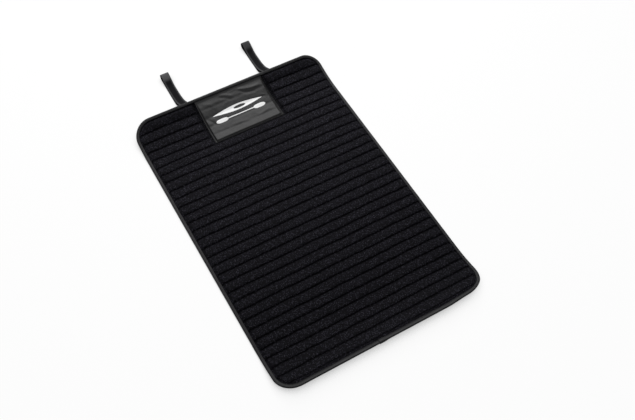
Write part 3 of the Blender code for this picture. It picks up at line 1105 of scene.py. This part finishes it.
def web_profile():
    """The webbing cut across, round from its upper face: distance across, and height."""
    half_t = WEB_THICK / 2
    flat = WEB_WIDTH / 2 - WEB_EDGE
    across = np.linspace(-flat, flat, 11)

    def edge(side, angles):
        turns = [math.radians(angle) for angle in angles]
        return [(side * flat + WEB_EDGE * math.cos(a), half_t * math.sin(a)) for a in turns]

    right, left = edge(1, (45, 0, -45)), edge(-1, (-135, 180, 135))
    return [(a, half_t) for a in across] + right + [(a, -half_t) for a in across[::-1]] + left


def make_strap(name, node, x, lean, crest_highlight):
    """A loop at x whose lower run sways aside by lean, with a highlight painted on its upright
    fold's bend and along its edges.
    """
    line = strap_line()
    ahead = np.gradient(line, axis=0)
    ahead /= np.linalg.norm(ahead, axis=1)[:, None]
    off = np.stack([-ahead[:, 1], ahead[:, 0]], -1)
    along = np.concatenate([[0.0], np.cumsum(np.linalg.norm(np.diff(line, axis=0), axis=1))])
    profile = web_profile()
    turn = along[np.argmax(line[:, 0])]
    sway = lean * np.sin(math.pi * np.clip((along - turn) / (along[-1] - turn), 0, 1))
    rows = []
    for a, n in profile:
        y = line[:, 0] + off[:, 0] * n
        z = line[:, 1] + off[:, 1] * n
        rows.append(np.stack([x + a + sway, LENGTH / 2 + y, z], -1) * MM)
    sections = np.stack(rows, 1)
    count, around = sections.shape[:2]
    verts = sections.reshape(-1, 3)
    centres = [verts[:around].mean(0), verts[-around:].mean(0)]
    start = np.arange(around)
    end = start + (count - 1) * around
    caps = np.concatenate([
        np.stack([start, np.roll(start, -1), np.full(around, len(verts))], -1),
        np.stack([np.roll(end, -1), end, np.full(around, len(verts) + 1)], -1),
    ])
    u = np.concatenate([np.tile([p[0] * MM for p in profile], count), [0.0, 0.0]])
    v = np.concatenate([np.repeat(along * MM, around), [0.0, along[-1] * MM]])
    faces = [grid_faces(count, around, wrap=True, flip=True), caps]
    verts = np.concatenate([verts, np.array(centres)])
    item = finish_mesh(name, verts, faces, webbing, uv=np.stack([u, v], -1))
    # A painted highlight on the lit top of the upright fold's bend, and a fainter one along both
    # edges.
    bend = along[np.argmax(np.where(line[:, 0] > 100.0, line[:, 1], 0.0))] - 5.5
    bent = crest_highlight * np.exp(-((along - bend) / 15.0) ** 4)
    edges = 0.5 * ease((np.abs(u) / MM - 7.2) / 2.4)
    point_values(item, "painted_highlight", np.maximum(edges, np.append(np.repeat(bent, around), [0.0, 0.0])))
    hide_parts(node)
    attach(item, "root")

    runs = []
    near_l, near_r, far_l, far_r = (-9.5, 16.0), (9.5, 16.0), (-9.5, 41.0), (9.5, 41.0)
    crossed_box = [near_l, near_r, far_r, far_l, near_l, far_r, near_r, far_l]
    depth = 2 * GAP + 2 * WEB_THICK + SEAM_CLEAR
    t = np.linspace(0, 1, 30)
    for a, b in zip(crossed_box, crossed_box[1:]):
        xs = x + a[0] + (b[0] - a[0]) * t
        ss = a[1] + (b[1] - a[1]) * t
        runs.append(sewn_line(xs, ss, -depth, STRAP_STITCH, -1))
    join_runs(name + "_threads", runs, thread)


make_quilt()
make_back()
make_seam_threads()
tape_table, tape_at, tape_top = make_tape()
make_tape_threads(tape_table, tape_at, tape_top)
make_label()
make_print()
make_strap("loop_left", "strap_left", -130.2, -1.8, 0.95)
make_strap("loop_right", "strap_right", 140.6, -1.6, 0.45)


# Floor, light and camera

FLOOR_HALF = 6.0
CONTACT_REACH = 0.045
FLOOR_SEEN = 0.94
WORLD_BEHIND, WORLD_LIGHT = 1.0, 0.24


def make_floor():
    """A pale floor whose look is set apart from its light, with a contact shadow painted in where
    the mat is near.
    """
    material, tree, shader = nodes_of("floor")
    set_surface(tree, shader, (0.93, 0.93, 0.93, 1.0), 0.9, 0.1)
    # Painted contact shadow: the floor's glow darkens where the mat is close by.
    near = add(tree, "ShaderNodeAmbientOcclusion", samples=8)
    near.inputs["Distance"].default_value = CONTACT_REACH
    painted_shadow = ramp(tree, near.outputs["AO"], [(0.0, 0.1), (0.4, 0.5), (0.62, 0.84), (0.85, 1.0)])
    glow = add(tree, "ShaderNodeEmission")
    tree.links.new(painted_shadow, glow.inputs["Color"])
    paths = add(tree, "ShaderNodeLightPath").outputs
    seen = math_node(tree, "MAXIMUM", paths["Is Camera Ray"], paths["Is Glossy Ray"])
    seen = math_node(tree, "MULTIPLY", seen, FLOOR_SEEN)
    mix = add(tree, "ShaderNodeMixShader")
    tree.links.new(seen, mix.inputs[0])
    tree.links.new(shader.outputs[0], mix.inputs[1])
    tree.links.new(glow.outputs[0], mix.inputs[2])
    tree.links.new(mix.outputs[0], tree.nodes["Material Output"].inputs["Surface"])
    verts = FLOOR_HALF * np.array([(-1, -1, 0), (1, -1, 0), (1, 1, 0), (-1, 1, 0)])
    item = finish_mesh("floor", verts, np.array([(0, 1, 2, 3)]), material)


def area_light(name, spot, target, size, power):
    """A square light at a spot, turned to a target."""
    light = bpy.data.lights.new(name, "AREA")
    light.shape = "SQUARE"
    light.size = size
    light.energy = power
    item = place(name, light)
    item.location = spot
    aim = Vector(target) - Vector(spot)
    item.rotation_euler = aim.to_track_quat("-Z", "Y").to_euler()


make_floor()
area_light("softbox", spot=(0.55, 1.5, 1.6), target=(0, 0.2, 0), size=1.3, power=52)

world = bpy.data.worlds.new("studio")
bpy.context.scene.world = world
world.use_nodes = True
sky = world.node_tree
background = sky.nodes["Background"]
background.inputs["Color"].default_value = (1, 1, 1, 1)
ray = add(sky, "ShaderNodeLightPath").outputs["Is Camera Ray"]
level = math_node(sky, "MULTIPLY_ADD", ray, WORLD_BEHIND - WORLD_LIGHT, WORLD_LIGHT)
sky.links.new(level, background.inputs["Strength"])

lens = bpy.data.cameras.new("camera")
lens.sensor_width = 36.0
lens.lens = 47.591
camera = place("camera", lens)
camera.location = (-0.6176, -1.07537, 1.92337)
camera.rotation_euler = Euler((0.569585, -0.024991, -0.520795), "XYZ")
bpy.context.scene.camera = camera
bpy.context.scene.view_settings.view_transform = "Standard"
